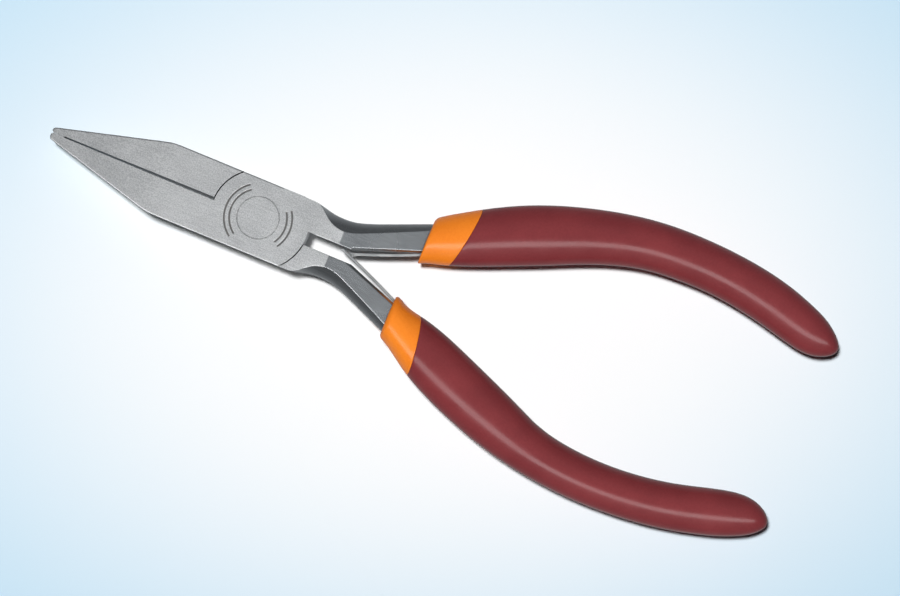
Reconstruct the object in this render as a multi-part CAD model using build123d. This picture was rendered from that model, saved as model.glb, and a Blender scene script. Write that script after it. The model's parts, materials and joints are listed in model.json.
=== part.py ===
from build123d import *

import math
import os

# Needle nose pliers: two forged levers on a riveted lap joint, a pair of leaf springs
# between the shanks, and a two-colour plastic grip on each handle.
#
# Frame, in millimetres: the tool lies flat with its jaws closed. X runs along its centre
# line, jaws towards -X and handles towards +X. Y runs across the handles, and Z runs up the
# rivet's axis. The origin is where that axis meets the ground rear face of the joint.
#
# The shapes are drawn about the lap's middle plane and lifted by half the head's thickness
# when they are written. The front lever has the -Y jaw and the +Y handle. The rear lever is
# the same forging turned over about X, so it has the +Y jaw and the -Y handle.

# --- Head: jaws and lap joint ---------------------------------------------------------
HEAD_T = 6.6  # thickness over both ground faces
HEAD_HALF = HEAD_T / 2
HEAD_HALF_W = 6.0  # half the head's width
NOSE_X = -36.0  # end of the jaws
NOSE_HALF_W = 0.95  # half the width over both jaws at their end
FLANK_DEG = 14.9  # slope of each jaw's outer flank
SHOULDER_R = 9.0  # where the flank runs into the head's straight side
NOSE_CORNER_R = 0.55
EDGE_R = 0.22  # broken edges of the ground faces
NOSE_HALF_T = 1.5  # half the thickness at the end of the jaws
TAPER_X = -13.0  # the jaws start to thin here

LAP_GAP = 0.04  # between the two halves of the lap
FRONT_LAP_R = 7.6  # round shoulder towards the jaws
BACK_LAP_R = 8.3  # round shoulder towards the handles
SHOULDER_GAP = 0.2  # clearance of both shoulders

BITE_GAP = 0.03  # between the closed jaws at their end, where they grip
BITE_END_X = -33.9
RELIEF_GAPS = (0.24, 0.55)  # between them just behind that, and beside the joint
NOSE_NOTCH = 0.3  # the jaws' inner corners are broken by this much
PARTING_Y = 0.15  # the closed jaws meet this far off the centre line
TOOTH_PITCH = 0.8
TOOTH_DEPTH = 0.14
TEETH_X = (-35.0, -18.0)
TOOTH_MARGIN = 0.45  # the grooves stop this far inside the ground faces

# --- Rivet ----------------------------------------------------------------------------
RIVET_R = 2.6
RIVET_HEAD_R = 3.4
RIVET_HEAD_T = 1.1
RIVET_EDGE = 0.1  # chamfer of the head and of its seat
RUNNING_GAP = 0.03  # in the rear lever, which turns on the rivet

# --- Shanks and the tangs inside the grips ---------------------------------------------
SLOT_FRONT_Y = 1.0  # inner edge of the front lever behind the joint
SLOT_REAR_Y = 1.25  # the same on the rear lever
INNER_SLOPE = 0.36  # of the shank's flat inner side, which the spring lies on
INNER_CORNER_X = 15.8  # that side reaches y = 1 here
INNER_FLAT_END_X = 33.0
SHANK_CHAMFER = 0.35  # along that side's two edges
TANG_END_X = 88.0
NECK_X = 7.4  # the outer edge leaves the head's straight side here
SHANK_HALF_W = 5.94  # up to there the shank lies this far out
SHANK_TOP_X = 13.4  # the ground face ends and the shank's own face begins
SHANK_SLOPE_DEG = 4.0  # how fast that face falls towards the grip
TANG_HALF_T = 1.9
# Outer edge of a shank and tang as (x, y, how far the face's border lies inside it).
SHANK_OUTER = (
    (NECK_X, SHANK_HALF_W, 0.0),
    (9.0, 5.68, 0.35),
    (10.5, 5.32, 1.2),
    (12.3, 5.13, 1.8),
    (14.4, 5.25, 2.0),
    (17.0, 6.0, 2.0),
    (20.0, 7.2, 2.1),
    (26.0, 9.7, 2.3),
    (34.0, 13.0, 2.0),
    (42.0, 16.1, 1.6),
    (50.0, 18.8, 1.3),
    (60.0, 21.2, 1.1),
    (70.0, 21.6, 1.0),
    (80.0, 20.4, 0.9),
    (TANG_END_X, 18.2, 0.8),
)
# Inner edge of a tang beyond its flat side.
TANG_INNER = ((40.0, 10.9), (50.0, 14.9), (60.0, 17.2), (70.0, 17.6), (80.0, 16.5), (TANG_END_X, 14.6))
# The shank's side bulges: (height as a share of half the head, share of the border's inset).
SIDE_LEVELS = ((-1.0, 1.0), (-0.55, 0.3), (0.0, 0.0), (0.55, 0.3), (1.0, 1.0))

# --- Grips ----------------------------------------------------------------------------
# Sections across X as (x, inner y, outer y, half the thickness), for a handle at +Y.
UPPER_GRIP = (
    (26.3, 2.95, 10.85, 3.70),
    (30.0, 4.20, 13.35, 3.95),
    (35.0, 6.00, 16.30, 4.15),
    (40.0, 8.10, 18.75, 4.25),
    (45.0, 10.25, 20.65, 4.25),
    (50.0, 12.50, 22.15, 4.20),
    (55.0, 14.45, 23.30, 4.15),
    (60.0, 15.80, 24.05, 4.10),
    (66.0, 16.40, 24.35, 4.05),
    (72.0, 16.35, 24.15, 4.00),
    (78.0, 15.60, 23.50, 3.95),
    (84.0, 14.30, 22.20, 3.85),
    (88.0, 13.45, 20.85, 3.60),
    (90.5, 13.40, 19.75, 3.20),
    (92.5, 14.00, 18.40, 2.50),
    (93.7, 14.80, 17.20, 1.55),
    (94.2, 15.60, 16.40, 0.55),
)
LOWER_GRIP = (
    (25.1, 2.25, 10.27, 3.70),
    (30.0, 4.65, 13.30, 3.95),
    (35.0, 6.00, 16.05, 4.15),
    (40.0, 7.90, 18.10, 4.25),
    (45.0, 9.90, 19.80, 4.25),
    (50.0, 12.00, 21.10, 4.20),
    (55.0, 14.00, 22.00, 4.15),
    (60.0, 15.00, 22.55, 4.10),
    (66.0, 15.35, 22.75, 4.05),
    (72.0, 15.00, 22.45, 4.00),
    (78.0, 14.00, 21.70, 3.95),
    (84.0, 12.40, 20.35, 3.85),
    (88.0, 11.55, 19.10, 3.65),
    (90.5, 11.55, 18.05, 3.30),
    (92.5, 12.20, 16.90, 2.60),
    (93.8, 13.20, 15.70, 1.60),
    (94.3, 14.10, 14.90, 0.60),
)
UPPER_SEAM_X = 31.9  # where the collar's colour ends, at SEAM_Y on the middle plane
LOWER_SEAM_X = 30.85
SEAM_Y = 9.6
SEAM_LEAN_Y = 0.163  # how far the seam runs back per millimetre of y, and of z
SEAM_LEAN_Z = 0.131
SPIGOT_LENGTH = 5.0  # the collar reaches this far inside the sleeve
SPIGOT_SHARE = 0.84  # of the grip's section
TANG_GAP = 0.05  # around the tang

# --- Leaf springs ---------------------------------------------------------------------
LEAF_T = 0.42
LEAF_W = 2.6
LEAF_FLEX_GAP = 0.06  # the foot and the blade each end this far from the line of flexing
FOOT_LENGTH = 3.8
UPPER_FLEX_X = 27.2  # the blades bend from here
LOWER_FLEX_X = 26.3
UPPER_BLADE = ((21.5, 2.42), (15.0, 0.03))  # two more points of its arc, for a handle at +Y
LOWER_BLADE = ((20.3, 1.88), (14.2, -0.5))
TONGUE_W = 1.0  # the upper blade's end, which goes through the lower blade's window
TONGUE_X = 16.3
WINDOW_W = 1.5
WINDOW_X = (14.5, 17.2)
LEAF_RIVET_R = 0.75
LEAF_RIVET_HEAD_R = 1.25
LEAF_RIVET_HEAD_T = 0.45
LEAF_RIVET_DEPTH = 2.4
LEAF_RIVET_AT = 2.1  # from the line of flexing
POCKET_GAP = 0.12
BLADE_ROOM = 0.72  # under the leaf in the collar's mouth, where the blade bends

INNER_DEG = math.degrees(math.atan(INNER_SLOPE))
BIG = 200.0


def slab(x0, x1, y0, y1, z0, z1):
    """A box between the given coordinates."""
    size = (x1 - x0, y1 - y0, z1 - z0)
    middle = ((x0 + x1) / 2, (y0 + y1) / 2, (z0 + z1) / 2)
    return Pos(*middle) * Box(*size)


def drum(radius, z0, z1):
    """A cylinder on the rivet's axis."""
    return Pos(0, 0, (z0 + z1) / 2) * Cylinder(radius, z1 - z0)


def inner_side_y(x):
    """y of the shank's flat inner side at x, for a handle at +Y."""
    return 1.0 + INNER_SLOPE * (x - INNER_CORNER_X)


def turned_over(shape):
    """The shape turned half a turn about X, from the front lever's side to the rear's."""
    return Rot(180, 0, 0) * shape


# --- Levers ---------------------------------------------------------------------------
def head_envelope():
    """Both jaws and the joint as one block, with its taper and broken edges."""
    rise = HEAD_HALF_W - NOSE_HALF_W
    shoulder_x = NOSE_X + rise / math.tan(math.radians(FLANK_DEG))
    end_x = BACK_LAP_R + 1.0
    upper = [
        (NOSE_X, NOSE_HALF_W),
        (shoulder_x, HEAD_HALF_W),
        (end_x, HEAD_HALF_W),
    ]
    lower = [(x, -y) for x, y in reversed(upper)]
    plan = make_face(Polyline(*upper, *lower, close=True))
    corners = plan.vertices().group_by(Axis.X)
    plan = fillet(corners[0], NOSE_CORNER_R)
    shoulders = [v for v in plan.vertices() if abs(v.X - shoulder_x) < 0.01]
    plan = fillet(shoulders, SHOULDER_R)
    block = extrude(plan, HEAD_HALF, both=True)

    # The ground faces curve in towards the nose on a long arc that is tangent to them.
    run = TAPER_X - NOSE_X
    drop = HEAD_HALF - NOSE_HALF_T
    arc_r = (run**2 + drop**2) / (2 * drop)
    past = -2.0
    past_drop = arc_r - math.sqrt(arc_r**2 - (run - past) ** 2)
    nose = NOSE_X + past
    top = HEAD_HALF - past_drop
    middle_x = (TAPER_X + nose) / 2
    middle_z = HEAD_HALF - arc_r + math.sqrt(arc_r**2 - (TAPER_X - middle_x) ** 2)
    side = (
        Line((nose, -top), (nose, top))
        + ThreePointArc((nose, top), (middle_x, middle_z), (TAPER_X, HEAD_HALF))
        + Line((TAPER_X, HEAD_HALF), (end_x, HEAD_HALF))
        + Line((end_x, HEAD_HALF), (end_x, -HEAD_HALF))
        + Line((end_x, -HEAD_HALF), (TAPER_X, -HEAD_HALF))
        + ThreePointArc((TAPER_X, -HEAD_HALF), (middle_x, -middle_z), (nose, -top))
    )
    profile = Plane.XZ * make_face(side)
    block = block & extrude(profile, HEAD_HALF_W + 1, both=True)
    rims = [
        e
        for e in block.edges()
        if e.center().X < end_x - 0.1
        and abs(e.tangent_at(0.5).Z) < 0.5
        and abs(e.center().Y) > 0.3
    ]
    return fillet(rims, EDGE_R)


def shank_outline(z, share, slot_y, grow):
    """Outline of the shank and tang at height z, with its border inset by that share."""
    outer = [(x, y - inset * share + grow) for x, y, inset in SHANK_OUTER]
    corner_x = INNER_CORNER_X + (slot_y - 1.0) / INNER_SLOPE
    start_x = 2.0
    flat_end = (INNER_FLAT_END_X, inner_side_y(INNER_FLAT_END_X) - grow)
    inner = [flat_end, *[(x, y - grow) for x, y in TANG_INNER]]
    slot_y -= grow
    lines = [
        Line((start_x, slot_y), (start_x, outer[0][1])),
        Line((start_x, outer[0][1]), outer[0]),
        Spline(*outer),
        Line(outer[-1], inner[-1]),
        Spline(*reversed(inner)),
        Line(flat_end, (corner_x, slot_y)),
        Line((corner_x, slot_y), (start_x, slot_y)),
    ]
    return Pos(0, 0, z) * make_face(Wire(lines))


def shank(slot_y, grow=0.0):
    """A front lever's shank and tang, from inside the joint to the handle's end."""
    top = HEAD_HALF + grow
    tang_top = TANG_HALF_T + grow
    body = loft([shank_outline(height * top, share, slot_y, grow) for height, share in SIDE_LEVELS])
    level_x = SHANK_TOP_X + (top - tang_top) / math.tan(math.radians(SHANK_SLOPE_DEG))
    above = [
        (0, top + 0.5),
        (SHANK_TOP_X - 0.5, top + 0.5),
        (SHANK_TOP_X, top),
        (level_x, tang_top),
        (BIG, tang_top),
    ]
    below = [(x, -z) for x, z in reversed(above)]
    side = make_face(Polyline(*above, *below, close=True))
    body = body & extrude(Plane.XZ * side, BIG / 4, both=True)
    return body if grow else body - inner_edge_cutters()


def inner_edge_cutters():
    """Bars that break the two edges of the shank's flat inner side."""
    x0 = INNER_CORNER_X
    x1 = INNER_FLAT_END_X
    start = Vector(x0, inner_side_y(x0), shank_half_thickness(x0))
    end = Vector(x1, inner_side_y(x1), shank_half_thickness(x1))
    run = end - start
    fall = math.degrees(math.asin(-run.Z / run.length))
    width = SHANK_CHAMFER * math.sqrt(2)
    bar = Rot(0, 0, INNER_DEG) * Rot(0, fall, 0) * Rot(45, 0, 0) * Box(run.length, width, width)
    bar = Pos(*((start + end) / 2)) * bar
    return bar + mirror(bar, Plane.XY)


def shank_half_thickness(x):
    """Half the shank's thickness at x, on its sloping faces."""
    fall = (x - SHANK_TOP_X) * math.tan(math.radians(SHANK_SLOPE_DEG))
    return max(TANG_HALF_T, HEAD_HALF - max(0.0, fall))


def jaw_half_thickness(x):
    """Half the jaws' thickness at x, on the arc that thins them."""
    run = TAPER_X - NOSE_X
    drop = HEAD_HALF - NOSE_HALF_T
    return HEAD_HALF - drop * min(1.0, max(0.0, (TAPER_X - x) / run)) ** 2


def jaw_teeth(face_y):
    """Fine V-grooves across a jaw's gripping face, to be cut from it."""
    first, last = TEETH_X
    half = TOOTH_DEPTH * 1.2
    grooves = []
    for i in range(int((last - first) / TOOTH_PITCH)):
        x = first + i * TOOTH_PITCH
        y = face_y(x)
        notch = Polyline((x - half, y + 0.02), (x, y - TOOTH_DEPTH), (x + half, y + 0.02), close=True)
        reach = jaw_half_thickness(x) - TOOTH_MARGIN
        grooves.append(extrude(make_face(notch), reach, both=True))
    return grooves


def lever(parting_y, slot_y, bore_gap):
    """One forging, where the front lever lies: -Y jaw, front half of the lap, +Y shank."""
    lap_z = LAP_GAP / 2
    bite_y = parting_y - BITE_GAP / 2
    relief = [parting_y - gap / 2 for gap in RELIEF_GAPS]
    relief_x = (BITE_END_X + 0.3, -FRONT_LAP_R)

    def face_y(x):
        """y of the gripping face at x."""
        if x < BITE_END_X:
            return bite_y
        share = max(0.0, (x - relief_x[0]) / (relief_x[1] - relief_x[0]))
        return relief[0] + (relief[1] - relief[0]) * share

    far = NOSE_X - 3
    outline = [
        (far, -8),
        (0, -8),
        (0, relief[1]),
        (relief_x[1], relief[1]),
        (relief_x[0], relief[0]),
        (BITE_END_X, bite_y),
        (NOSE_X + NOSE_NOTCH, bite_y),
        (NOSE_X, bite_y - NOSE_NOTCH),
        (far, bite_y - NOSE_NOTCH),
    ]
    jaw_plan = Polyline(*outline, close=True)
    jaw = extrude(make_face(jaw_plan), HEAD_HALF + 1, both=True)
    jaw -= drum(FRONT_LAP_R + SHOULDER_GAP, -HEAD_HALF - 2, lap_z)
    left = slab(-BIG, 0, -BIG, BIG, -BIG, BIG)
    right = slab(0, BIG, -BIG, BIG, -BIG, BIG)
    plate = drum(FRONT_LAP_R, lap_z, HEAD_HALF + 1) & left
    plate += drum(BACK_LAP_R, lap_z, HEAD_HALF + 1) & right
    head = head_envelope() & (jaw + plate)
    tail = shank(slot_y)
    tail -= drum(BACK_LAP_R + SHOULDER_GAP, -HEAD_HALF - 2, lap_z)
    body = head + tail

    bore = drum(RIVET_R + bore_gap, -HEAD_HALF - 1, HEAD_HALF + 1)
    seat_r = RIVET_HEAD_R + bore_gap
    seat_z = HEAD_HALF - RIVET_HEAD_T - bore_gap
    body -= bore + drum(seat_r, seat_z, HEAD_HALF + 1)
    body -= Pos(0, 0, HEAD_HALF - RIVET_EDGE / 2) * Cone(seat_r, seat_r + RIVET_EDGE, RIVET_EDGE)
    for groove in jaw_teeth(face_y):
        body -= groove
    return body


def joint_rivet():
    """The pivot: a stem with a flush head at each end, ground level with the faces."""
    stem = drum(RIVET_R, -HEAD_HALF + RIVET_HEAD_T, HEAD_HALF - RIVET_HEAD_T)
    heads = drum(RIVET_HEAD_R, HEAD_HALF - RIVET_HEAD_T, HEAD_HALF)
    heads += drum(RIVET_HEAD_R, -HEAD_HALF, -HEAD_HALF + RIVET_HEAD_T)
    rivet = stem + heads
    rims = rivet.edges().filter_by(GeomType.CIRCLE)
    rims = [e for e in rims if abs(abs(e.center().Z) - HEAD_HALF) < 0.01]
    return chamfer(rims, RIVET_EDGE)


# --- Grips, as they lie on a handle at +Y ----------------------------------------------
def oval_body(sections, share=1.0):
    """The smooth body through a grip's sections, or one with its sections reduced."""
    ovals = []
    for x, inner_y, outer_y, half_t in sections:
        half_w = (outer_y - inner_y) / 2
        oval = Pos((inner_y + outer_y) / 2, 0) * Ellipse(half_w * share, half_t * share)
        ovals.append(Plane.YZ.offset(x) * oval)
    return loft(ovals)


def seam_side(seam_x, x0, x1):
    """All the room from x0 to x1 past the leaning seam plane."""
    lean_y = math.degrees(math.atan(SEAM_LEAN_Y))
    lean_z = math.degrees(math.atan(SEAM_LEAN_Z))
    turn = Rot(0, lean_z, 0) * Rot(0, 0, -lean_y)
    return Pos(seam_x, SEAM_Y, 0) * turn * slab(x0, x1, -BIG, BIG, -BIG, BIG)


def on_inner_side(x):
    """The place on a shank's flat inner side at x: its X runs up the handle, its -Y outward."""
    return Pos(x, inner_side_y(x), 0) * Rot(0, 0, INNER_DEG)


def leaf_room(flex_x):
    """The pocket for a leaf spring's foot, its rivet's head and the start of its blade."""
    half_w = LEAF_W / 2 + POCKET_GAP
    foot = slab(-8, FOOT_LENGTH + POCKET_GAP, -LEAF_T - POCKET_GAP, 0.5, -half_w, half_w)
    blade = slab(-8, 0.3, -LEAF_T - BLADE_ROOM, 0.5, -half_w, half_w)
    head_r = LEAF_RIVET_HEAD_R + POCKET_GAP
    head_t = LEAF_T + LEAF_RIVET_HEAD_T + POCKET_GAP
    head = Pos(LEAF_RIVET_AT, -head_t / 2, 0) * Rot(90, 0, 0) * Cylinder(head_r, head_t)
    return on_inner_side(flex_x) * (foot + blade + head)


def grip(sections, seam_x, slot_y, flex_x):
    """A grip's orange collar and its sleeve, hollow for the tang."""
    outside = oval_body(sections)
    core = oval_body(sections, SPIGOT_SHARE)
    hollow = shank(slot_y, TANG_GAP) + leaf_room(flex_x)
    spigot = core & seam_side(seam_x, -1, SPIGOT_LENGTH)
    collar = (outside & seam_side(seam_x, -BIG, 0)) + spigot
    sleeve = (outside & seam_side(seam_x, 0, BIG)) - spigot
    return collar - hollow, sleeve - hollow


# --- Leaf springs, as they lie on a handle at +Y ---------------------------------------
def leaf_foot(flex_x):
    """The end of a leaf spring that is held flat against its shank."""
    foot = slab(LEAF_FLEX_GAP, FOOT_LENGTH, -LEAF_T, 0, -LEAF_W / 2, LEAF_W / 2)
    hole = Pos(LEAF_RIVET_AT, 0, 0) * Rot(90, 0, 0) * Cylinder(LEAF_RIVET_R, 4)
    return on_inner_side(flex_x) * (foot - hole)


def leaf_rivet(flex_x):
    """The rivet that holds a leaf spring's foot."""
    stem_t = LEAF_RIVET_DEPTH + LEAF_T
    stem = Pos(LEAF_RIVET_AT, LEAF_RIVET_DEPTH - stem_t / 2, 0) * Rot(90, 0, 0)
    stem = stem * Cylinder(LEAF_RIVET_R, stem_t)
    head = Pos(LEAF_RIVET_AT, -LEAF_T - LEAF_RIVET_HEAD_T / 2, 0) * Rot(90, 0, 0)
    head = head * Cylinder(LEAF_RIVET_HEAD_R, LEAF_RIVET_HEAD_T)
    return on_inner_side(flex_x) * (stem + head)


def leaf_rivet_hole(flex_x):
    """The hole in the shank for that rivet."""
    hole = Pos(LEAF_RIVET_AT, LEAF_RIVET_DEPTH / 2, 0) * Rot(90, 0, 0)
    hole = hole * Cylinder(LEAF_RIVET_R, LEAF_RIVET_DEPTH)
    return on_inner_side(flex_x) * hole


def blade(flex_x, arc_points):
    """The free part of a leaf spring: a thin strip, bent to a slight arc."""
    start = on_inner_side(flex_x) * Pos(-LEAF_FLEX_GAP, -LEAF_T / 2, 0)
    arc = ThreePointArc(start.position, *arc_points)
    faces = []
    for shift in (LEAF_T / 2, -LEAF_T / 2):
        moved = [arc @ t + ((arc @ t) - arc.arc_center).normalized() * shift for t in (0, 0.5, 1)]
        faces.append(ThreePointArc(*moved))
    near, away = faces
    strip = make_face([near, away, Line(near @ 0, away @ 0), Line(near @ 1, away @ 1)])
    return extrude(strip, LEAF_W / 2, both=True)


def upper_blade():
    """The upper blade, cut down to a narrow tongue at its end."""
    strip = blade(UPPER_FLEX_X, UPPER_BLADE)
    for side in (1, -1):
        z0, z1 = sorted((side * TONGUE_W / 2, side * LEAF_W))
        strip -= slab(0, TONGUE_X, -5, 5, z0, z1)
    return strip


def lower_blade():
    """The lower blade, with its window."""
    strip = blade(LOWER_FLEX_X, LOWER_BLADE)
    return strip - slab(*WINDOW_X, -5, 5, -WINDOW_W / 2, WINDOW_W / 2)


def write(node, shape):
    """Write one node, lifted so that the joint's rear face is at z = 0."""
    export_step(Pos(0, 0, HEAD_HALF) * shape, f"parts/{node}.step")


if __name__ == "__main__":
    os.makedirs("parts", exist_ok=True)
    write("joint_rivet", joint_rivet())

    write("front_lever", lever(PARTING_Y, SLOT_FRONT_Y, 0.0) - leaf_rivet_hole(UPPER_FLEX_X))
    collar, sleeve = grip(UPPER_GRIP, UPPER_SEAM_X, SLOT_FRONT_Y, UPPER_FLEX_X)
    write("upper_grip_collar", collar)
    write("upper_grip_sleeve", sleeve)
    write("upper_spring_foot", leaf_foot(UPPER_FLEX_X))
    write("upper_spring_rivet", leaf_rivet(UPPER_FLEX_X))
    write("upper_spring_blade", upper_blade())

    rear = lever(-PARTING_Y, SLOT_REAR_Y, RUNNING_GAP) - leaf_rivet_hole(LOWER_FLEX_X)
    write("rear_lever", turned_over(rear))
    collar, sleeve = grip(LOWER_GRIP, LOWER_SEAM_X, SLOT_REAR_Y, LOWER_FLEX_X)
    write("lower_grip_collar", turned_over(collar))
    write("lower_grip_sleeve", turned_over(sleeve))
    write("lower_spring_foot", turned_over(leaf_foot(LOWER_FLEX_X)))
    write("lower_spring_rivet", turned_over(leaf_rivet(LOWER_FLEX_X)))
    write("lower_spring_blade", turned_over(lower_blade()))
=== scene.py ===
"""Needle nose pliers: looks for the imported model.

The levers and rivets keep their CAD meshes and get ground and polished steel. The moulded
grips and the leaf springs are built here around the CAD solids that they stand for.
Lengths are in metres in the part's own frame: jaws towards -X, handles towards +X, the
rivet's axis along Z, and z = 0 at the joint's ground rear face.
"""

import json
import math

import bmesh
import bpy
import numpy as np
from mathutils import Matrix, Vector


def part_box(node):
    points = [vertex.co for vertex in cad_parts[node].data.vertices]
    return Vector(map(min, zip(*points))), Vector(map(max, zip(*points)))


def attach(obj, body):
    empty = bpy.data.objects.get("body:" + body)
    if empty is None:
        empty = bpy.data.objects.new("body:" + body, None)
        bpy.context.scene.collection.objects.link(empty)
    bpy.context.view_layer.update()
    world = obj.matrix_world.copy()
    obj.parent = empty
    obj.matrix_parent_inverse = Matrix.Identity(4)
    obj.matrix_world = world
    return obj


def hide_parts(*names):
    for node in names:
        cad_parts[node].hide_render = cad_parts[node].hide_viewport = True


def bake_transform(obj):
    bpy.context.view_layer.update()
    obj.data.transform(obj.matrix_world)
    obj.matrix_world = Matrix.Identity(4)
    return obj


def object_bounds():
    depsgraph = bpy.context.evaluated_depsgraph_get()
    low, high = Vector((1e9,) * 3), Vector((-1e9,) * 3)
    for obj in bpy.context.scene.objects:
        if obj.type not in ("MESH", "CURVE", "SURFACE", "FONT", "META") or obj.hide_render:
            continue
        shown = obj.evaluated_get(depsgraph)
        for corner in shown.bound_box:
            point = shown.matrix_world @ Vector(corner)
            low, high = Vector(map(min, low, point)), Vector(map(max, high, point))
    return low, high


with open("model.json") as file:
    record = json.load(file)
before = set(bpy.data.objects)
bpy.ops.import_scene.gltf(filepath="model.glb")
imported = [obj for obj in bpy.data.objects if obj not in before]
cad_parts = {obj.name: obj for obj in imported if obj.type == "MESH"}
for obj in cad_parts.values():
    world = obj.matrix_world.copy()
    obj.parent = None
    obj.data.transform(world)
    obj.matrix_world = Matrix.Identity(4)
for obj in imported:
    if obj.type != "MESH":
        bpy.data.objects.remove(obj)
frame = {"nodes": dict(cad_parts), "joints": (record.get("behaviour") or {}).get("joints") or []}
cad_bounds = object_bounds()
NODES = frame["nodes"]
JOINTS = {joint["name"]: joint for joint in frame["joints"]}

# --- Sizes ------------------------------------------------------------------------------
MM = 0.001

HEAD_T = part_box("front_lever")[1].z
MID_Z = HEAD_T / 2
FLOOR_Z = min(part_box(node)[0].z for node in NODES)

# Levers.
FACE_END = {"front": 13.5 * MM, "rear": 12.7 * MM}  # the ground face ends and the shank begins
FACE_FADE = (-0.1 * MM, 0.2 * MM)  # the ground finish turns into polish over this
FLANK_X = (8.0 * MM, 8.6 * MM)  # and does so here on the upright sides
SHANK_X = (9 * MM, 11 * MM)  # the edges behind this are softly rounded
SOFT_EDGE_R = 0.2 * MM
GROUND_RELIEF = 0.012 * MM  # depth of the ground faces' texture
BITE_X = (-34 * MM, -7 * MM)  # the gap between the jaws
BITE_HALF_W = 0.9 * MM
LAP_R = 8 * MM  # the gap around the lap, on average
LAP_HALF_W = 0.7 * MM
LAP_Y = (1.3 * MM, 5.6 * MM)
ARC_R = 5.05 * MM  # middle of the double etched arcs
ARC_GAP = 0.42 * MM  # each line lies this far from it
ARC_LINE = 0.2 * MM
ARC_DEPTH = 1.5  # as a share of that texture's depth
LEFT_ARC = (math.radians(124), math.radians(126))  # fade of each arc's ends
RIGHT_ARC = (math.radians(33), math.radians(35))

# Grips.
RING = 96  # points around a grip
LONG_RINGS = 60
TIP_RINGS = 40
TIP_TURN = (0.9, 1.55)  # the rings close up towards the tip as this angle's sine does
SEAM_X = {"upper": 31.9 * MM, "lower": 30.85 * MM}  # the colours meet here
SEAM_Y = 9.6 * MM  # at this distance from the centre line
SEAM_LEAN_Y = 0.163  # how far the seam runs back per unit of y away from the centre line
SEAM_LEAN_Z = 0.131  # and per unit of z
SEAM_FADE = 12 * MM  # the rings straighten up over this length past the seam
SEAM_R = 0.14 * MM
SEAM_STEPS = 4
BODY_START = 0.6 * MM
BARREL_STEPS = 14
LIP_R = {"upper": (0.3 * MM, 0.55 * MM), "lower": (1.5 * MM, 0.5 * MM)}  # on the inner and outer side
LIP_STEPS = 8
FACE_INSETS = (3.6 * MM, 2.8 * MM, 2.0 * MM)
SKIN = 0.015 * MM  # the pieces stay this far inside the CAD solids' ends
PEEL_RELIEF = 0.004 * MM

# Leaf springs.
SLOT_ROOM = 0.3 * MM  # the collar's slot is this much wider than the strip
SLOT_ALONG = (-5 * MM, 0.6 * MM)  # its ends from the hinge, against and along the foot
SLOT_ACROSS = (-0.55 * MM, 0.6 * MM)  # its sides from the hinge
LEAF_STEP = 0.35 * MM
LEAF_T = 0.42 * MM
LEAF_INNER = {"upper": 1.0 * MM, "lower": 1.5 * MM}  # width of the tongue and of the window
LEAF_EDGE = 0.06 * MM
LEAF_RELIEF = 0.003 * MM
TONGUE_X = 16.3 * MM  # the upper leaf narrows to a tongue before this
WINDOW_X = (14.5 * MM, 17.2 * MM)  # the lower leaf's window, which the tongue passes
FOOT_SPOTS = (1.9, 0.2)  # points on the foot, as shares of the way from the hinge to its middle
BLADE_ENDS = (0.04, 0.06)  # the blade's first and last station lie this share of it from its ends
BLADE_STATIONS = 12
TIP_ROOM = 0.05 * MM

# View.
VIEW_TURN = math.radians(22.4)
VIEW_CENTRE = Vector((33.29 * MM, -0.16 * MM, MID_Z))
VIEW_WIDTH = 144.9 * MM
IMAGE_RIGHT = Vector((math.cos(VIEW_TURN), math.sin(VIEW_TURN), 0))
IMAGE_DOWN = Vector((math.sin(VIEW_TURN), -math.cos(VIEW_TURN), 0))
OVAL = (72.5 * MM, 48 * MM)  # half the view's width and height; the floor's painted pool of light fades over this oval
LENS = 135.0
SENSOR = 36.0
FLOOR_HALF = 0.9

# Finishes: darkest and lightest colours, and roughness.
PIGMENT = {
    "maroon": ((0.148, 0.0225, 0.026, 1), (0.178, 0.0275, 0.031, 1)),
    "orange": ((0.69, 0.175, 0.012, 1), (0.75, 0.205, 0.016, 1)),
}
GRIP_ROUGH = (0.18, 0.26)
LEAF_ROUGH = (0.3, 0.42)
GROUND_ROUGH = 0.42
POLISHED_ROUGH = 0.26
# The floor's painted pool of light: white in the middle, a darker pale blue at the oval's edge.
FLOOR_LIGHT_POOL_WHITE = (0.97, 0.975, 0.98, 1)
FLOOR_FALLOFF_BLUE = (0.52, 0.735, 0.885, 1)
ROOM_COLOUR = (0.93, 0.97, 1.0, 1)
ROOM_GLOW = {"level": 0.17, "overhead": 0.46, "underfoot": 0.42}


# --- Mesh helpers -----------------------------------------------------------------------


def new_piece(name, verts, faces, smooth=True):
    """A mesh object from lists of points and faces, with outward normals."""
    mesh = bpy.data.meshes.new(name)
    mesh.from_pydata([tuple(v) for v in verts], [], faces)
    work = bmesh.new()
    work.from_mesh(mesh)
    bmesh.ops.recalc_face_normals(work, faces=work.faces)
    work.to_mesh(mesh)
    work.free()
    mesh.polygons.foreach_set("use_smooth", [smooth] * len(mesh.polygons))
    piece = bpy.data.objects.new(name, mesh)
    bpy.context.scene.collection.objects.link(piece)
    return piece


def apply_modifiers(piece):
    """Replace the piece's mesh by the one that its modifiers make."""
    view = bpy.context.evaluated_depsgraph_get()
    mesh = bpy.data.meshes.new_from_object(piece.evaluated_get(view))
    piece.modifiers.clear()
    piece.data = mesh


def drop_loose_points(piece):
    """Delete the points that no face uses."""
    work = bmesh.new()
    work.from_mesh(piece.data)
    loose = [v for v in work.verts if not v.link_faces]
    bmesh.ops.delete(work, geom=loose, context="VERTS")
    work.to_mesh(piece.data)
    work.free()


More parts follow.
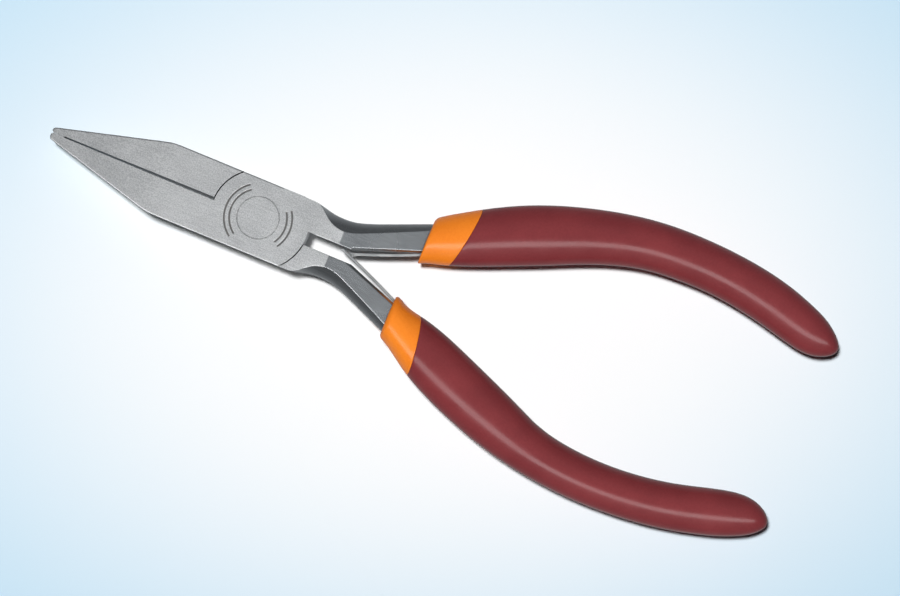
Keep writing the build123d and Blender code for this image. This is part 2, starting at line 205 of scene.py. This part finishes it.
def sections(nodes, stations):
    """The outer (y low, y high, z low, z high) of some CAD nodes where planes cut them across X."""
    points = []
    edges = []
    for node in nodes:
        mesh = NODES[node].data
        first = sum(len(p) for p in points)
        points.append(np.array([v.co for v in mesh.vertices]))
        edges.append(np.array([e.vertices for e in mesh.edges]) + first)
    points = np.concatenate(points)
    edges = np.concatenate(edges)
    ends_a = points[edges[:, 0]]
    ends_b = points[edges[:, 1]]
    found = []
    for x in stations:
        crossed = (ends_a[:, 0] - x) * (ends_b[:, 0] - x) < 0
        a = ends_a[crossed]
        b = ends_b[crossed]
        share = ((x - a[:, 0]) / (b[:, 0] - a[:, 0]))[:, None]
        cut = a + (b - a) * share
        found.append((cut[:, 1].min(), cut[:, 1].max(), cut[:, 2].min(), cut[:, 2].max()))
    return np.array(found)


def resampled(points, step):
    """Points evenly spaced on a smooth curve through the given control points."""
    curve = bpy.data.curves.new("path", "CURVE")
    curve.dimensions = "3D"
    curve.resolution_u = 12
    spline = curve.splines.new("NURBS")
    spline.points.add(len(points) - 1)
    for target, point in zip(spline.points, points):
        target.co = (*point, 1.0)
    spline.order_u = 3
    spline.use_endpoint_u = True
    holder = bpy.data.objects.new("path", curve)
    bpy.context.scene.collection.objects.link(holder)
    mesh = bpy.data.meshes.new_from_object(holder)
    line = [v.co.copy() for v in mesh.vertices]
    bpy.data.objects.remove(holder)
    lengths = np.concatenate([[0], np.cumsum([(b - a).length for a, b in zip(line, line[1:])])])
    count = max(2, round(lengths[-1] / step))
    spots = np.linspace(0, lengths[-1], count + 1)
    coords = np.array(line)
    return [Vector([np.interp(s, lengths, coords[:, axis]) for axis in range(3)]) for s in spots]


def quarter(steps):
    """Angles from 0 to a quarter turn."""
    return [math.pi / 2 * k / steps for k in range(steps + 1)]


def smooth_fade(share):
    """1 at share 0, falling smoothly to 0 at share 1."""
    share = min(max(share, 0.0), 1.0)
    return 1 - share * share * (3 - 2 * share)


# --- Shader nodes -----------------------------------------------------------------------


class Nodes:
    """Short calls that add linked shader nodes to a tree."""

    def __init__(self, tree):
        self.tree = tree

    def add(self, kind, **settings):
        node = self.tree.nodes.new(kind)
        for key, value in settings.items():
            setattr(node, key, value)
        return node

    def put(self, value, socket):
        """Link an output to a socket, or set the socket to a number or colour."""
        if isinstance(value, bpy.types.NodeSocket):
            self.tree.links.new(value, socket)
        else:
            socket.default_value = value

    def math(self, operation, a, b=0.0):
        node = self.add("ShaderNodeMath", operation=operation)
        self.put(a, node.inputs[0])
        self.put(b, node.inputs[1])
        return node.outputs[0]

    def times(self, *values):
        """The product of some values."""
        product = values[0]
        for value in values[1:]:
            product = self.math("MULTIPLY", product, value)
        return product

    def weighted(self, *parts):
        """The sum of some (value, weight) pairs."""
        shares = [self.math("MULTIPLY", value, weight) for value, weight in parts]
        total = shares[0]
        for share in shares[1:]:
            total = self.math("ADD", total, share)
        return total

    def length(self, a, b):
        """The length of the vector (a, b)."""
        squares = [self.math("POWER", value, 2.0) for value in (a, b)]
        return self.math("SQRT", self.math("ADD", *squares))

    def distance(self, value, spot):
        """How far value is from spot, without a sign."""
        return self.math("ABSOLUTE", self.math("SUBTRACT", value, spot))

    def between(self, value, low, high):
        """1 where value lies between low and high, and 0 elsewhere."""
        return self.times(self.math("GREATER_THAN", value, low), self.math("LESS_THAN", value, high))

    def ramp(self, value, low, high, to_low=0.0, to_high=1.0):
        """value mapped smoothly from low..high to to_low..to_high."""
        node = self.add("ShaderNodeMapRange", interpolation_type="SMOOTHSTEP")
        self.put(value, node.inputs["Value"])
        node.inputs["From Min"].default_value = low
        node.inputs["From Max"].default_value = high
        node.inputs["To Min"].default_value = to_low
        node.inputs["To Max"].default_value = to_high
        return node.outputs[0]

    def axes(self, vector):
        """The X, Y and Z outputs of a vector."""
        split = self.add("ShaderNodeSeparateXYZ")
        self.put(vector, split.inputs[0])
        return split.outputs

    def noise(self, coords, period, detail=2.0, roughness=0.5, stretch=None):
        """Noise whose features are about one period across, from 0 to 1."""
        node = self.add("ShaderNodeTexNoise")
        source = coords.outputs["Object"]
        if stretch:
            mapping = self.add("ShaderNodeMapping")
            mapping.inputs["Scale"].default_value = stretch
            self.put(source, mapping.inputs["Vector"])
            source = mapping.outputs[0]
        self.put(source, node.inputs["Vector"])
        node.inputs["Scale"].default_value = 1 / period
        node.inputs["Detail"].default_value = detail
        node.inputs["Roughness"].default_value = roughness
        return node.outputs["Fac"]

    def mix(self, share, a, b):
        """Colour a where share is 0 and b where it is 1."""
        node = self.add("ShaderNodeMix", data_type="RGBA")
        self.put(share, node.inputs["Factor"])
        self.put(a, node.inputs["A"])
        self.put(b, node.inputs["B"])
        return node.outputs["Result"]

    def soft_edges(self, radius, where):
        """A normal that rounds the edges to a radius where the mask is 1."""
        edges = self.add("ShaderNodeBevel", samples=8)
        edges.inputs["Radius"].default_value = radius
        plain = self.add("ShaderNodeNewGeometry")
        node = self.add("ShaderNodeMix", data_type="VECTOR")
        vector_a, vector_b = node.inputs[4:6]
        self.put(where, node.inputs["Factor"])
        self.put(plain.outputs["Normal"], vector_a)
        self.put(edges.outputs[0], vector_b)
        return node.outputs[1]


class Finish(Nodes):
    """The nodes of a new material, with its shader's own sockets."""

    def __init__(self, name):
        self.material = bpy.data.materials.new(name)
        self.material.use_nodes = True
        super().__init__(self.material.node_tree)
        self.shader = self.tree.nodes["Principled BSDF"]
        self.coords = self.add("ShaderNodeTexCoord")

    def give(self, **sockets):
        """Set the shader's sockets, named in lower case with _ for a space."""
        names = {socket.name.lower().replace(" ", "_"): socket for socket in self.shader.inputs}
        for name, value in sockets.items():
            self.put(value, names[name])

    def bump(self, height, distance, normal=None):
        node = self.add("ShaderNodeBump")
        self.put(height, node.inputs["Height"])
        node.inputs["Distance"].default_value = distance
        if normal:
            self.put(normal, node.inputs["Normal"])
        self.give(normal=node.outputs[0])


def grey(value, blue=0.0):
    """A near-neutral colour."""
    return (value * (1 - blue), value, value * (1 + blue), 1.0)


def coat(piece, material):
    """Give the piece this one material."""
    piece.data.materials.clear()
    piece.data.materials.append(material)


# --- Steel ------------------------------------------------------------------------------


def lever_steel(name, face_end, marks=False):
    """Forged steel: fine ground faces on the head, a darker polish from face_end on."""
    n = Finish(name)
    place = n.axes(n.coords.outputs["Object"])
    normal = n.axes(n.coords.outputs["Normal"])
    fine = n.noise(n.coords, period=0.2 * MM, detail=3, roughness=0.65)
    grain = n.noise(n.coords, period=0.3 * MM, stretch=(0.12, 1.0, 1.0))
    cloud = n.noise(n.coords, period=6 * MM)

    # Past the ground faces' end, and on the shank's sides, the forging is polished.
    past = n.ramp(place["X"], face_end + FACE_FADE[0], face_end + FACE_FADE[1])
    flank = n.times(upright(n, normal, steep=0.8, level=0.9), n.ramp(place["X"], *FLANK_X))
    polished = n.math("MAXIMUM", past, flank)

    tone = n.weighted((fine, 0.72), (grain, 0.18), (cloud, 0.10))
    ground = n.mix(n.ramp(tone, 0.36, 0.64), grey(0.45, 0.01), grey(0.72))
    smooth = n.mix(n.ramp(grain, 0.25, 0.75), grey(0.34, 0.03), grey(0.39, 0.03))
    # Painted shade: the walls of the narrow gaps are darkened nearly to black.
    shade = n.times(in_joints(n, place, normal), 0.75)
    colour = n.mix(shade, n.mix(polished, ground, smooth), grey(0.04, -0.04))
    depth = n.times(tone, n.math("SUBTRACT", 1.0, n.times(polished, 0.97)))
    if marks:
        etched = etched_arcs(n, place, normal)
        colour = n.mix(n.times(etched, 0.85), colour, grey(0.09, -0.08))
        depth = n.math("SUBTRACT", depth, n.times(etched, ARC_DEPTH))
        polished = n.math("SUBTRACT", polished, n.times(etched, 0.3))
    rough = n.ramp(polished, 0.0, 1.0, GROUND_ROUGH, POLISHED_ROUGH)
    rough = n.math("ADD", rough, n.times(n.math("SUBTRACT", cloud, 0.5), 0.12))
    n.give(base_color=colour, metallic=1.0, roughness=rough)
    n.bump(depth, GROUND_RELIEF, n.soft_edges(SOFT_EDGE_R, n.ramp(place["X"], *SHANK_X)))
    return n.material


def upright(n, normal, steep, level):
    """The upright sides as a mask, which fades out as the normal's z goes from steep to level."""
    return n.ramp(n.math("ABSOLUTE", normal["Z"]), steep, level, 1.0, 0.0)


def in_joints(n, place, normal):
    """The walls of the narrow gaps, between the jaws and round the lap, as a mask for painted shade.
    """
    off = n.math("ABSOLUTE", place["Y"])
    bite = n.times(n.math("LESS_THAN", off, BITE_HALF_W), n.between(place["X"], *BITE_X))
    lap = n.distance(n.length(place["X"], place["Y"]), LAP_R)
    lap = n.times(n.math("LESS_THAN", lap, LAP_HALF_W), n.between(off, *LAP_Y))
    return n.times(upright(n, normal, steep=0.3, level=0.5), n.math("MAXIMUM", bite, lap))


def etched_arcs(n, place, normal):
    """Two plain pairs of etched arcs around the rivet on the front face, as a mask."""
    off = n.distance(n.length(place["X"], place["Y"]), ARC_R)
    ring = n.ramp(n.distance(off, ARC_GAP), ARC_LINE / 2, ARC_LINE, 1.0, 0.0)
    angle = n.math("ABSOLUTE", n.math("ARCTAN2", place["Y"], place["X"]))
    span = n.math("MAXIMUM", n.ramp(angle, *LEFT_ARC), n.ramp(angle, *RIGHT_ARC, 1.0, 0.0))
    return n.times(ring, span, n.ramp(normal["Z"], 0.9, 0.95))


def strip_steel(name):
    """Rolled spring strip: bright, with fine lines along its length."""
    n = Finish(name)
    lines = n.noise(n.coords, period=0.12 * MM, stretch=(0.06, 0.06, 1.0))
    cloud = n.noise(n.coords, period=2 * MM)
    colour = n.mix(n.ramp(cloud, 0.3, 0.7), grey(0.46, 0.01), grey(0.58))
    n.give(base_color=colour, metallic=1.0, roughness=n.ramp(lines, 0.2, 0.8, *LEAF_ROUGH))
    n.bump(lines, LEAF_RELIEF)
    return n.material


# --- Plastic and paint ------------------------------------------------------------------


def moulded(pigment):
    """Soft moulded plastic with a faint orange peel and uneven pigment."""
    n = Finish(f"{pigment}_plastic")
    patch = n.noise(n.coords, period=6 * MM, detail=3)
    speck = n.noise(n.coords, period=0.35 * MM)
    peel = n.noise(n.coords, period=1.1 * MM, roughness=0.4)
    wear = n.noise(n.coords, period=3 * MM, detail=3)
    tone = n.weighted((patch, 0.6), (speck, 0.4))
    n.give(
        base_color=n.mix(n.ramp(tone, 0.3, 0.7), *PIGMENT[pigment]),
        roughness=n.ramp(wear, 0.25, 0.75, *GRIP_ROUGH),
        specular_ior_level=0.3,
    )
    n.bump(n.weighted((peel, 0.8), (speck, 0.2)), PEEL_RELIEF)
    return n.material


def floor_paint():
    """Pale floor with a painted pool of light: white in the middle, falling off to a darker pale blue
    towards an oval's edge.
    """
    n = Finish("floor_paint")
    place = n.axes(n.coords.outputs["Object"])
    across = n.math("SUBTRACT", place["X"], VIEW_CENTRE.x)
    shares = []
    for direction, half in zip((IMAGE_RIGHT, IMAGE_DOWN), OVAL):
        along = n.weighted((across, direction.x), (place["Y"], direction.y))
        shares.append(n.math("DIVIDE", along, half))
    # Painted pool of light: the colour darkens to pale blue with distance from the view's centre.
    colour = n.mix(n.ramp(n.length(*shares), 0.35, 1.75), FLOOR_LIGHT_POOL_WHITE, FLOOR_FALLOFF_BLUE)
    n.give(base_color=colour, roughness=0.9, specular_ior_level=0.1)
    return n.material


# --- Grips ------------------------------------------------------------------------------


class Grip:
    """The outer form of one grip, read off its CAD solids."""

    def __init__(self, side):
        self.side = side
        self.hand = 1 if side == "upper" else -1
        nodes = (f"{side}_grip_collar", f"{side}_grip_sleeve")
        self.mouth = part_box(nodes[0])[0].x
        self.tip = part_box(nodes[1])[1].x
        from_tip = (self.tip - self.mouth) * (1 - np.sin(np.linspace(*TIP_TURN, TIP_RINGS)))
        near_tip = self.tip - from_tip
        long_part = np.linspace(self.mouth + SKIN, near_tip[0], LONG_RINGS)
        self.x = np.unique(np.concatenate([long_part, near_tip]))
        found = sections(nodes, self.x)
        self.centre_y = (found[:, 0] + found[:, 1]) / 2
        self.half_w = (found[:, 1] - found[:, 0]) / 2
        self.half_t = (found[:, 3] - found[:, 2]) / 2

    def point(self, x, angle, inset=0.0):
        """The point at x and at an angle around the section, inset from its surface."""
        centre = np.interp(x, self.x, self.centre_y)
        half_w = max(np.interp(x, self.x, self.half_w) - inset, 0.0)
        half_t = max(np.interp(x, self.x, self.half_t) - inset, 0.0)
        y = centre + self.hand * half_w * math.cos(angle)
        return Vector((x, y, MID_Z + half_t * math.sin(angle)))

    def seam_shift(self, angle):
        """How far the seam lies from SEAM_X at this angle."""
        point = self.point(SEAM_X[self.side], angle)
        out = self.hand * point.y - SEAM_Y
        return SEAM_LEAN_Y * out + SEAM_LEAN_Z * (point.z - MID_Z)

    def lip_r(self, angle):
        """Radius of the mouth's lip at this angle."""
        inner, outer = LIP_R[self.side]
        return inner + (outer - inner) * (1 + math.cos(angle)) / 2

    def skin(self, name, profile):
        """A closed body of rings. Each profile entry is (x, share of the seam's lean, inset, turn
        of the lip), where a lip turn of None leaves the lip out."""
        verts = []
        for x, lean, inset, turn in profile:
            for i in range(RING):
                angle = 2 * math.pi * i / RING
                shift = lean * self.seam_shift(angle) if lean else 0.0
                if turn is not None:
                    shift += self.lip_r(angle) * (1 - math.cos(turn))
                    inset = self.lip_r(angle) * (1 - math.sin(turn))
                verts.append(self.point(x + shift, angle, inset))
        faces = []
        for k in range(len(profile) - 1):
            for i in range(RING):
                j = (i + 1) % RING
                faces.append((k * RING + i, k * RING + j, (k + 1) * RING + j, (k + 1) * RING + i))
        for ring in (0, len(profile) - 1):
            rim = range(ring * RING, (ring + 1) * RING)
            centre = sum((verts[i] for i in rim), Vector()) / RING
            verts.append(centre)
            hub = len(verts) - 1
            faces += [(rim[i], rim[(i + 1) % RING], hub) for i in range(RING)]
        return new_piece(name, verts, faces)


def collar_profile(grip):
    """Mouth face, rounded lip, tapering barrel, and the edge at the seam."""
    seam = SEAM_X[grip.side]
    start = grip.mouth + max(LIP_R[grip.side])
    run = seam - SEAM_R - start
    face = [(grip.mouth + SKIN, 0.0, inset, None) for inset in FACE_INSETS]
    lip = [(grip.mouth + SKIN, 0.0, 0.0, turn) for turn in quarter(LIP_STEPS)]
    barrel = []
    for k in range(1, BARREL_STEPS):
        barrel.append((start + run * k / BARREL_STEPS, k / BARREL_STEPS, 0.0, None))
    edge = [(seam - back, 1.0, inset, None) for back, inset in seam_edge()]
    return face + lip + barrel + edge


def sleeve_profile(grip):
    """The edge at the seam, the long sleeve and its rounded end."""
    seam = SEAM_X[grip.side]
    edge = [(seam + back, 1.0, inset, None) for back, inset in reversed(seam_edge())]
    stations = [x for x in grip.x if seam + BODY_START < x < grip.tip - SKIN]
    body = [(x, smooth_fade((x - seam) / SEAM_FADE), 0.0, None) for x in stations]
    return edge + body


def seam_edge():
    """The rounded edge at the seam, as (distance from the seam, inset)."""
    turns = quarter(SEAM_STEPS)
    return [(SEAM_R * (1 - math.sin(turn)), SEAM_R * (1 - math.cos(turn))) for turn in turns]


def leaf_slot(collar, side):
    """Open the collar's mouth where the leaf spring comes out of it."""
    hinge = Vector(JOINTS[f"{side}_leaf_flex"]["pos_m"])
    foot_low, foot_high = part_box(f"{side}_spring_foot")
    along = (foot_low + foot_high) / 2 - hinge
    along.z = 0
    along.normalize()
    out = Vector((-along.y, along.x, 0))
    if out.y * hinge.y < 0:
        out = -out
    half_w = (foot_high.z - foot_low.z + SLOT_ROOM) / 2
    near, far = SLOT_ALONG
    deep, shallow = SLOT_ACROSS
    verts = []
    for a, b in ((near, deep), (far, deep), (far, shallow), (near, shallow)):
        for z in (-half_w, half_w):
            verts.append(hinge + along * a + out * b + Vector((0, 0, z)))
    faces = [(0, 1, 3, 2), (2, 3, 5, 4), (4, 5, 7, 6), (6, 7, 1, 0), (0, 2, 4, 6), (1, 7, 5, 3)]
    cutter = new_piece("slot_cutter", verts, faces, smooth=False)
    cut = collar.modifiers.new("slot", "BOOLEAN")
    cut.operation = "DIFFERENCE"
    cut.solver = "EXACT"
    cut.object = cutter
    apply_modifiers(collar)
    bpy.data.objects.remove(cutter)


def make_grip(side, body, maroon, orange):
    """One grip's collar and sleeve, in place of their CAD solids."""
    grip = Grip(side)
    collar = grip.skin(f"{side}_collar", collar_profile(grip))
    leaf_slot(collar, side)
    coat(collar, orange)
    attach(collar, body)
    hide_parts(f"{side}_grip_collar")
    sleeve = grip.skin(f"{side}_sleeve", sleeve_profile(grip))
    coat(sleeve, maroon)
    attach(sleeve, body)
    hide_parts(f"{side}_grip_sleeve")


# --- Leaf springs -----------------------------------------------------------------------


def leaf_path(side):
    """The hinge of one leaf spring, and its centre line from its foot's end to its tip."""
    hinge = Vector(JOINTS[f"{side}_leaf_flex"]["pos_m"])
    foot_low, foot_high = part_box(f"{side}_spring_foot")
    middle = (foot_low + foot_high) / 2
    middle.z = hinge.z
    foot = [hinge + (middle - hinge) * share for share in FOOT_SPOTS]
    blade = f"{side}_spring_blade"
    low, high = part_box(blade)
    run = high.x - low.x
    stations = np.linspace(low.x + BLADE_ENDS[0] * run, high.x - BLADE_ENDS[1] * run, BLADE_STATIONS)
    found = sections((blade,), stations)
    middles = [Vector((x, (f[0] + f[1]) / 2, hinge.z)) for x, f in zip(stations, found)]
    onward = (middles[0] - middles[1]).normalized()
    tip = middles[0] + onward * (middles[0].x - low.x - TIP_ROOM)
    return hinge, [*foot, *reversed(middles), tip]


def is_open(side, column, x):
    """Whether the strip has a hole at x in one of its three columns."""
    middle = column == 1
    if side == "upper":
        return not middle and x < TONGUE_X
    return middle and WINDOW_X[0] < x < WINDOW_X[1]


def make_leaf(side, material):
    """One leaf spring as a single bent strip, which bends where its CAD blade turns."""
    hinge, points = leaf_path(side)
    line = resampled(points, LEAF_STEP)
    low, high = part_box(f"{side}_spring_blade")
    half_w = (high.z - low.z) / 2
    inner = LEAF_INNER[side] / 2
    rows = (-half_w, -inner, inner, half_w)
    verts = [point + Vector((0, 0, z)) for point in line for z in rows]
    faces = []
    for k in range(len(line) - 1):
        x = (line[k].x + line[k + 1].x) / 2
        for column in range(3):
            if not is_open(side, column, x):
                a = k * 4 + column
                faces.append((a, a + 1, a + 5, a + 4))
    leaf = new_piece(f"{side}_leaf_spring", verts, faces, smooth=False)
    drop_loose_points(leaf)
    thick = leaf.modifiers.new("thickness", "SOLIDIFY")
    thick.thickness = LEAF_T
    thick.offset = 0
    edges = leaf.modifiers.new("edges", "BEVEL")
    edges.width = LEAF_EDGE
    edges.segments = 2
    edges.limit_method = "ANGLE"
    edges.angle_limit = math.radians(50)
    apply_modifiers(leaf)
    coat(leaf, material)
    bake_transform(leaf)
    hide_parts(f"{side}_spring_foot", f"{side}_spring_blade")


# --- Stage ------------------------------------------------------------------------------


def make_camera():
    """A camera straight above the object, turned as the photo is."""
    data = bpy.data.cameras.new("camera")
    data.lens = LENS
    data.sensor_width = SENSOR
    data.clip_start = 0.01
    camera = bpy.data.objects.new("camera", data)
    distance = VIEW_WIDTH * LENS / SENSOR
    camera.location = VIEW_CENTRE + Vector((0, 0, distance))
    camera.rotation_euler = (0, 0, VIEW_TURN)
    bpy.context.scene.collection.objects.link(camera)
    bpy.context.scene.camera = camera


def make_floor():
    """A pale floor with a painted pool of light under the object, unseen in its reflections."""
    corners = [(-1, -1), (1, -1), (1, 1), (-1, 1)]
    verts = [Vector((x * FLOOR_HALF, y * FLOOR_HALF, FLOOR_Z)) for x, y in corners]
    floor = new_piece("floor", verts, [(0, 1, 2, 3)], smooth=False)
    coat(floor, floor_paint())
    floor.visible_glossy = False
    return floor


def make_world():
    """A faint room, brighter overhead and underfoot, which shows in reflections only."""
    world = bpy.data.worlds.new("studio")
    world.use_nodes = True
    n = Nodes(world.node_tree)
    coords = n.add("ShaderNodeTexCoord")
    height = n.axes(coords.outputs["Generated"])["Z"]
    overhead = n.ramp(height, 0.3, 0.95, ROOM_GLOW["level"], ROOM_GLOW["overhead"])
    underfoot = n.ramp(height, -0.1, -0.9, ROOM_GLOW["level"], ROOM_GLOW["underfoot"])
    background = n.tree.nodes["Background"]
    n.put(n.math("MAXIMUM", overhead, underfoot), background.inputs["Strength"])
    n.put(ROOM_COLOUR, background.inputs["Color"])
    bpy.context.scene.world = world
    world.cycles_visibility.diffuse = False


def soft_light(name, toward, lean, distance, size, radiance):
    """A soft box that faces the object, leaning off the zenith towards a direction."""
    data = bpy.data.lights.new(name, "AREA")
    data.shape = "RECTANGLE"
    data.size, data.size_y = size
    data.energy = radiance * math.pi * size[0] * size[1]
    light = bpy.data.objects.new(name, data)
    lean = math.radians(lean)
    away = toward.normalized() * math.sin(lean) + Vector((0, 0, 1)) * math.cos(lean)
    side = Vector((0, 0, 1)).cross(toward).normalized()
    turn = Matrix((side, away.cross(side), away)).transposed().to_4x4()
    light.matrix_world = Matrix.Translation(VIEW_CENTRE + away * distance) @ turn
    bpy.context.scene.collection.objects.link(light)
    return light


def make_lights(floor):
    """A long strip for the highlights, a small key for the shadows, and a low fill."""
    strip = soft_light("strip", IMAGE_DOWN, lean=28, distance=0.6, size=(1.3, 0.2), radiance=5.0)
    strip.visible_diffuse = False
    from_upper_left = -0.58 * IMAGE_RIGHT - 0.815 * IMAGE_DOWN
    key = soft_light("key", from_upper_left, lean=11, distance=1.6, size=(0.18, 0.18), radiance=261.0)
    key.visible_glossy = False
    fill = soft_light("fill", IMAGE_DOWN, lean=50, distance=0.7, size=(0.8, 0.6), radiance=2.3)
    fill.visible_glossy = False
    spared = bpy.data.collections.new("spared_by_fill")
    spared.objects.link(floor)
    spared.collection_objects[0].light_linking.link_state = "EXCLUDE"
    fill.light_linking.receiver_collection = spared


# --- Build ------------------------------------------------------------------------------
make_camera()
make_world()
make_lights(make_floor())
bpy.context.scene.view_settings.view_transform = "Standard"

coat(NODES["front_lever"], lever_steel("front_lever_steel", FACE_END["front"], marks=True))
coat(NODES["rear_lever"], lever_steel("rear_lever_steel", FACE_END["rear"]))
rivet_steel = lever_steel("rivet_steel", cad_bounds[1].x)
for node in ("joint_rivet", "upper_spring_rivet", "lower_spring_rivet"):
    coat(NODES[node], rivet_steel)

maroon = moulded("maroon")
orange = moulded("orange")
spring_steel = strip_steel("spring_strip")
for side, body in (("upper", "front_lever"), ("lower", "rear_lever")):
    make_grip(side, body, maroon, orange)
    make_leaf(side, spring_steel)
